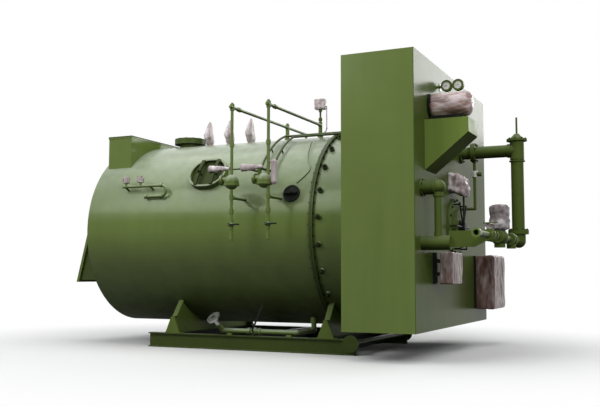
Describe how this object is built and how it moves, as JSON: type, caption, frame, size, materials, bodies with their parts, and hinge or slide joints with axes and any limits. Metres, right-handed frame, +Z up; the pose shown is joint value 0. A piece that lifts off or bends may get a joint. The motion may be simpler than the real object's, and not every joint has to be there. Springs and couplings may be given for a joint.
{
  "type": "fire-tube water heater",
  "caption": "Horizontal fire-tube water heater on a skid, with a tall front fan and burner casing, rear smoke hood, flue box, manhole, water columns, gas train and safety valves.",
  "frame": {"origin": "on the ground under the middle of the skid, on the foot of the middle cross member", "axes": "+X along the shell axis toward the burner end, -Y the side with the manhole and water columns, +Z up"},
  "size_m": [5.4862, 3.305, 3.09],
  "materials": {
    "green_paint": "semi-gloss olive green enamel",
    "dark_green_paint": "semi-gloss dark olive enamel",
    "black_paint": "matt black paint",
    "bare_steel": "machined bare steel",
    "film_wrap": "crumpled tinted packing film",
    "dial_white": "white dial behind glass",
    "clear_wrap": "pale crumpled film over the glass"
  },
  "bodies": {
    "plant": {"skid_beams": "green_paint", "skid_cross_members": "black_paint", "tow_bar": "green_paint", "saddles": "green_paint", "shell": "green_paint", "rear_end_plate": "green_paint", "flange_ring": "dark_green_paint", "front_barrel": "green_paint", "rear_hood": "dark_green_paint", "rear_hood_cover": "green_paint", "flue_box": "green_paint", "flue_cover": "dark_green_paint", "casing_back": "green_paint", "casing_sides": "green_paint", "casing_top_bottom": "green_paint", "front_panel": "green_paint", "motor_shelf": "green_paint", "motor_flange": "black_paint", "fan_motor": "film_wrap", "gauge_bracket": "green_paint", "dial_gauges": "dial_white", "gas_main": "green_paint", "gas_train": "green_paint", "gas_inlet": "green_paint", "gas_regulator": "film_wrap", "pilot_line": "green_paint", "train_support": "green_paint", "burner_front": "green_paint", "burner_gun": "black_paint", "burner_actuator": "film_wrap", "bypass_pipe": "green_paint", "junction_box": "film_wrap", "junction_bracket": "black_paint", "cabinet_back": "black_paint", "control_cabinet": "film_wrap", "water_outlet": "dark_green_paint", "outlet_cover": "dark_green_paint", "safety_valves": "film_wrap", "manhole_ring": "green_paint", "manhole_cover": "dark_green_paint", "handhole": "black_paint", "water_column_1": "green_paint", "water_column_2": "green_paint", "switch_heads": "film_wrap", "gauge_glass": "clear_wrap", "pressure_switch": "film_wrap", "switch_lead": "clear_wrap", "conduits": "dark_green_paint", "control_manifold": "green_paint", "blowdown_pipe": "green_paint", "blowdown_outlet": "bare_steel"},
    "blowdown_lever": {"blowdown_lever": "black_paint"},
    "drain_lever_1": {"drain_lever_1": "black_paint"},
    "drain_lever_2": {"drain_lever_2": "black_paint"}
  },
  "joints": [
    {"name": "blowdown_lever_turn", "type": "hinge", "parent": "plant", "child": "blowdown_lever", "pos_m": [0.097, -0.963, 0.216], "axis": [0, 1, 0], "range_deg": [-25, 65]},
    {"name": "drain_lever_1_turn", "type": "hinge", "parent": "plant", "child": "drain_lever_1", "pos_m": [0.068, -1.442, 1.393], "axis": [0, 1, 0], "range_deg": [0, 90]},
    {"name": "drain_lever_2_turn", "type": "hinge", "parent": "plant", "child": "drain_lever_2", "pos_m": [0.517, -1.442, 1.393], "axis": [0, 1, 0], "range_deg": [0, 90]}
  ]
}
